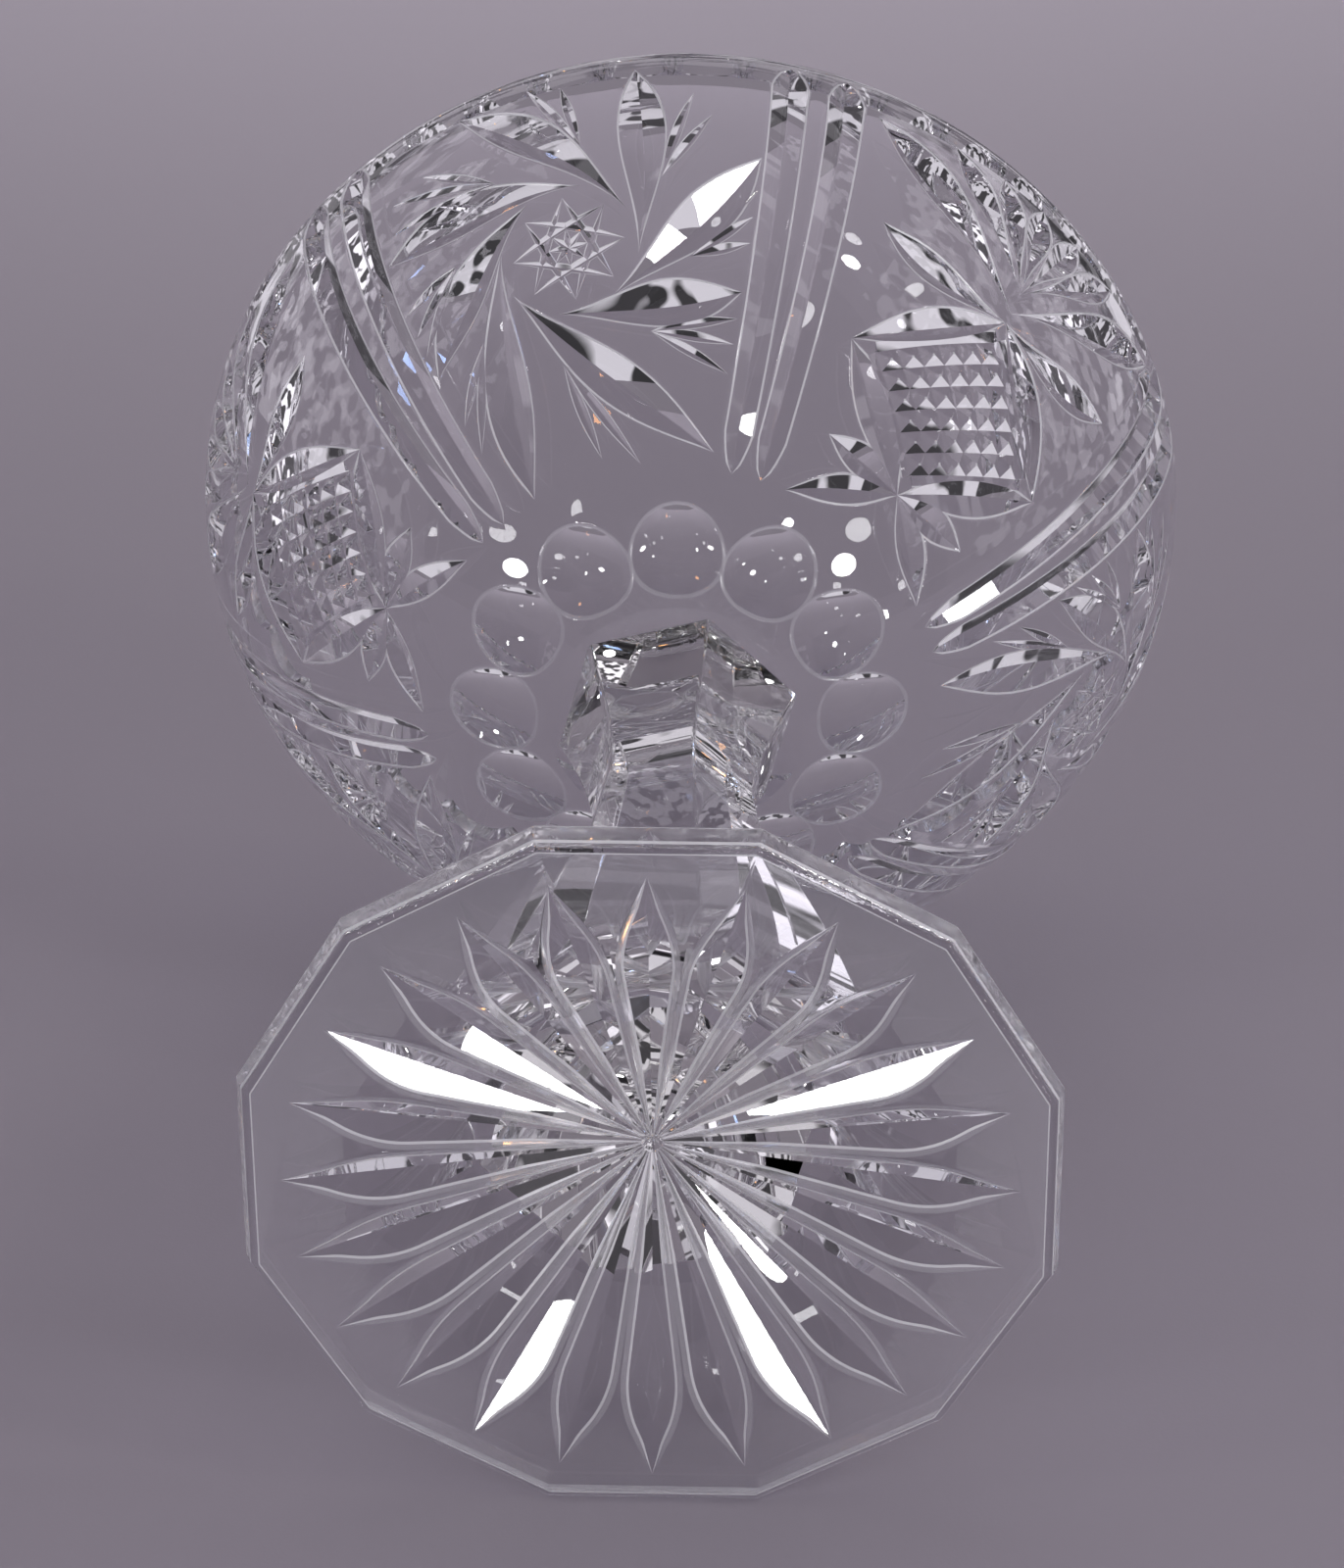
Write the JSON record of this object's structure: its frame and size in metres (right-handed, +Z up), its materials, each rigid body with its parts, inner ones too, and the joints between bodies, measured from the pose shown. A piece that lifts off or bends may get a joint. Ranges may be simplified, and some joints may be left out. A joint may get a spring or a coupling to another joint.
{
  "type": "footed glass compote",
  "caption": "Footed dish: a deep clear glass bowl with cut panels and a scalloped rim on a waisted faceted stem and a flat faceted foot with a star underneath.",
  "frame": {"origin": "centre of the foot's underside, on the surface the compote stands on", "axes": "+Z up along the stem to the rim, +Y towards the middle of one flat of the twelve-sided foot, +X to the right of it"},
  "size_m": [0.1626, 0.1626, 0.2001],
  "materials": {
    "clear_glass": "pressed and wheel-cut clear lead glass, fire bright",
    "clear_bond": "thin clear adhesive film between two ground glass faces"
  },
  "bodies": {
    "root": {"foot": "clear_glass", "foot_bond": "clear_bond", "stem": "clear_glass", "bowl_bond": "clear_bond", "bowl": "clear_glass"}
  },
  "joints": []
}
